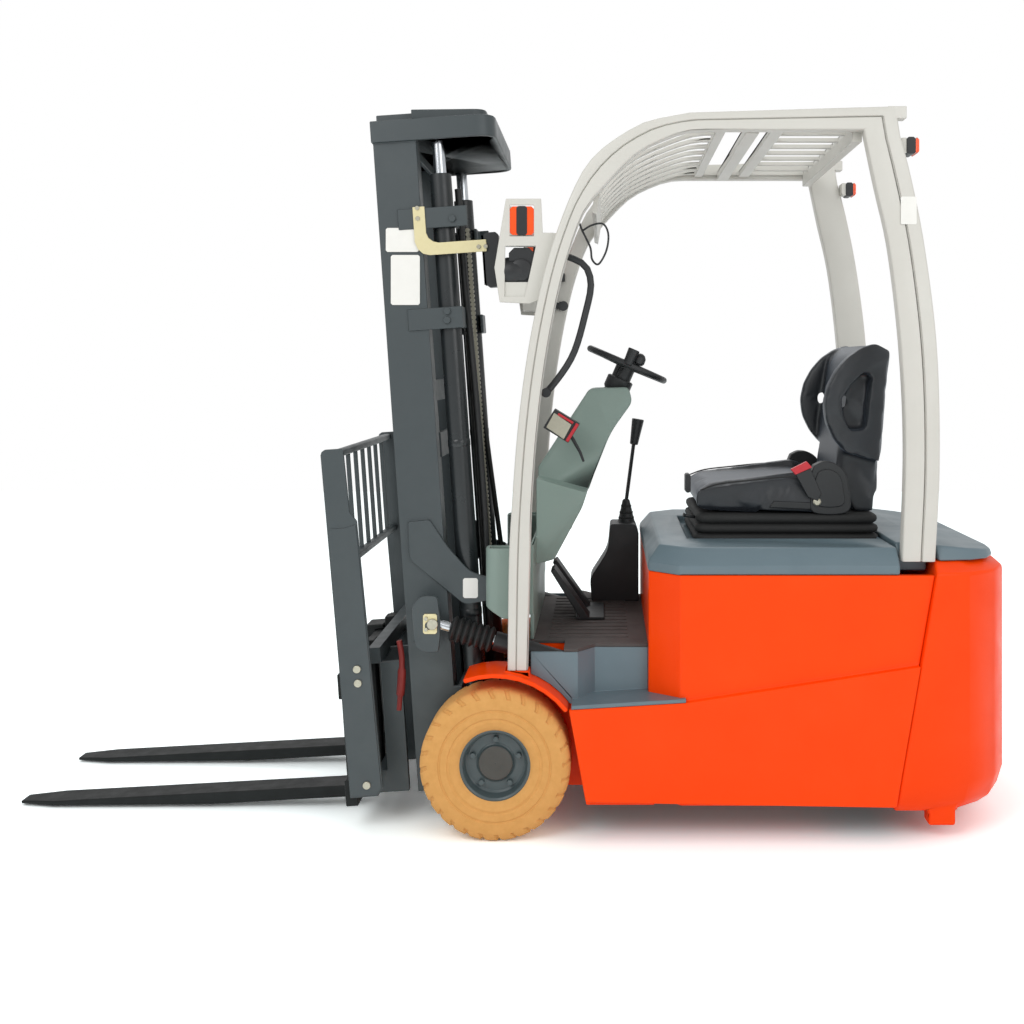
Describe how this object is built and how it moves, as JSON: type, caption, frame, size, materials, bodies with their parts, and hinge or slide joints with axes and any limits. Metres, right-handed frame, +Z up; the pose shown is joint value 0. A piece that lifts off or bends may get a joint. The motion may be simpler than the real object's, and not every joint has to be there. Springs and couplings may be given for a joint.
{
  "type": "three-wheel electric forklift truck",
  "caption": "Three-wheel electric counterbalance forklift with triplex mast, load backrest, overhead guard and driver's seat over the battery.",
  "frame": {"origin": "on the floor, under the middle of the truck's whole length and width, fork tips to tail", "axes": "the truck faces -X, its left side is -Y, +Z is up"},
  "size_m": [3.171, 1.06, 2.2642],
  "materials": {
    "orange_paint": "satin",
    "grey_paint": "satin",
    "guard_paint": "satin",
    "mast_paint": "satin",
    "fork_steel": "satin",
    "cowl_plastic": "matte",
    "black_plastic": "matte",
    "mat_rubber": "matte",
    "vinyl": "satin",
    "tan_tyre": "matte",
    "black_tyre": "matte",
    "wheel_paint": "satin",
    "chrome_rod": "polished"
  },
  "bodies": {
    "chassis": {"battery": "black_plastic", "body_shell": "orange_paint", "counterweight": "orange_paint", "drive_axle": "mast_paint", "fender_left": "orange_paint", "fender_right": "orange_paint", "floor_plate": "mat_rubber", "front_cowl": "cowl_plastic", "grab_handle": "black_plastic", "guard_side_left": "guard_paint", "guard_side_right": "guard_paint", "lamp_cluster_left": "guard_paint", "lamp_cluster_right": "guard_paint", "lever_console": "black_plastic", "main_frame": "orange_paint", "pedals": "black_plastic", "rear_cover": "grey_paint", "roof_grille": "guard_paint", "step_left": "grey_paint", "step_right": "grey_paint"},
    "mast": {"outer_mast": "mast_paint", "mast_lamp": "black_plastic", "lift_barrel_left": "mast_paint", "lift_barrel_right": "mast_paint"},
    "middle_stage": {"middle_mast": "mast_paint", "lift_rod_left": "chrome_rod", "lift_rod_right": "chrome_rod"},
    "inner_stage": {"inner_mast": "mast_paint", "free_lift_barrel": "mast_paint"},
    "free_lift_head": {"free_lift_rod": "chrome_rod"},
    "carriage": {"lift_carriage": "mast_paint"},
    "side_shift": {"sideshift_frame": "fork_steel", "load_backrest": "mast_paint", "fork_left": "fork_steel", "fork_right": "fork_steel"},
    "hood_and_seat": {"hood": "grey_paint", "seat_base": "black_plastic", "seat_cushion": "vinyl", "seat_back": "vinyl"},
    "steer": {"steer_knuckle": "mast_paint"},
    "rear_wheels": {"rear_tyre_left": "black_tyre", "rear_tyre_right": "black_tyre", "rear_rim_left": "wheel_paint", "rear_rim_right": "wheel_paint"},
    "steering": {"steering_wheel": "black_plastic"},
    "front_wheel_left": {"front_tyre_left": "tan_tyre", "front_rim_left": "wheel_paint"},
    "tilt_barrel_body_left": {"tilt_barrel_left": "black_plastic", "tilt_bellows_left": "black_plastic"},
    "tilt_rod_body_left": {"tilt_rod_left": "chrome_rod"},
    "front_wheel_right": {"front_tyre_right": "tan_tyre", "front_rim_right": "wheel_paint"},
    "tilt_barrel_body_right": {"tilt_barrel_right": "black_plastic", "tilt_bellows_right": "black_plastic"},
    "tilt_rod_body_right": {"tilt_rod_right": "chrome_rod"}
  },
  "joints": [
    {"name": "mast_tilt", "type": "hinge", "parent": "chassis", "child": "mast", "pos_m": [-0.0145, 0, 0.2285], "axis": [0, 1, 0], "range_deg": [0, 11]},
    {"name": "middle_lift", "type": "slide", "parent": "mast", "child": "middle_stage", "axis": [-0.0698, 0, 0.9976], "range_m": [0, 1.5]},
    {"name": "inner_lift", "type": "slide", "parent": "middle_stage", "child": "inner_stage", "axis": [-0.0698, 0, 0.9976], "range_m": [0, 1.5]},
    {"name": "carriage_lift", "type": "slide", "parent": "inner_stage", "child": "carriage", "axis": [-0.0698, 0, 0.9976], "range_m": [0, 1.48]},
    {"name": "free_lift", "type": "slide", "parent": "inner_stage", "child": "free_lift_head", "axis": [-0.0698, 0, 0.9976], "range_m": [0, 0.74]},
    {"name": "side_shift", "type": "slide", "parent": "carriage", "child": "side_shift", "axis": [0, 1, 0], "range_m": [-0.1, 0.1]},
    {"name": "hood_hinge", "type": "hinge", "parent": "chassis", "child": "hood_and_seat", "pos_m": [1.2095, 0, 0.888], "axis": [0, 1, 0], "range_deg": [0, 65]},
    {"name": "steer_turn", "type": "hinge", "parent": "chassis", "child": "steer", "pos_m": [1.2755, 0, 0.48], "axis": [0, 0, 1], "range_deg": [-90, 90]},
    {"name": "rear_roll", "type": "hinge", "parent": "steer", "child": "rear_wheels", "pos_m": [1.2755, 0, 0.1905], "axis": [0, 1, 0], "continuous": true},
    {"name": "steering_turn", "type": "hinge", "parent": "chassis", "child": "steering", "pos_m": [0.3935, 0, 1.437], "axis": [0.4003, 0, 0.9164], "range_deg": [-900, 900]},
    {"name": "front_roll_left", "type": "hinge", "parent": "chassis", "child": "front_wheel_left", "pos_m": [-0.0145, -0.45, 0.2285], "axis": [0, 1, 0], "continuous": true},
    {"name": "tilt_swing_left", "type": "hinge", "parent": "chassis", "child": "tilt_barrel_body_left", "pos_m": [0.2155, -0.392, 0.505], "axis": [0, 1, 0], "range_deg": [0, 7.92]},
    {"name": "tilt_stroke_left", "type": "slide", "parent": "tilt_barrel_body_left", "child": "tilt_rod_body_left", "axis": [0.9599, 0, -0.2802], "range_m": [0, 0.0651], "deforming": ["tilt_bellows_left"]},
    {"name": "front_roll_right", "type": "hinge", "parent": "chassis", "child": "front_wheel_right", "pos_m": [-0.0145, 0.45, 0.2285], "axis": [0, 1, 0], "continuous": true},
    {"name": "tilt_swing_right", "type": "hinge", "parent": "chassis", "child": "tilt_barrel_body_right", "pos_m": [0.2155, 0.392, 0.505], "axis": [0, 1, 0], "range_deg": [0, 7.92]},
    {"name": "tilt_stroke_right", "type": "slide", "parent": "tilt_barrel_body_right", "child": "tilt_rod_body_right", "axis": [0.9599, 0, -0.2802], "range_m": [0, 0.0651], "deforming": ["tilt_bellows_right"]}
  ],
  "couplings": [
    {"joint": "inner_lift", "follows": "middle_lift", "ratio": 1},
    {"joint": "free_lift", "follows": "carriage_lift", "ratio": 0.5},
    {"joint": "steering_turn", "follows": "steer_turn", "ratio": -10},
    {"joint": "tilt_swing_left", "follows": "mast_tilt", "ratio": 0.71783},
    {"joint": "tilt_stroke_left", "follows": "mast_tilt", "m_per_rad": 0.33856},
    {"joint": "tilt_swing_right", "follows": "mast_tilt", "ratio": 0.71783},
    {"joint": "tilt_stroke_right", "follows": "mast_tilt", "m_per_rad": 0.33856}
  ]
}
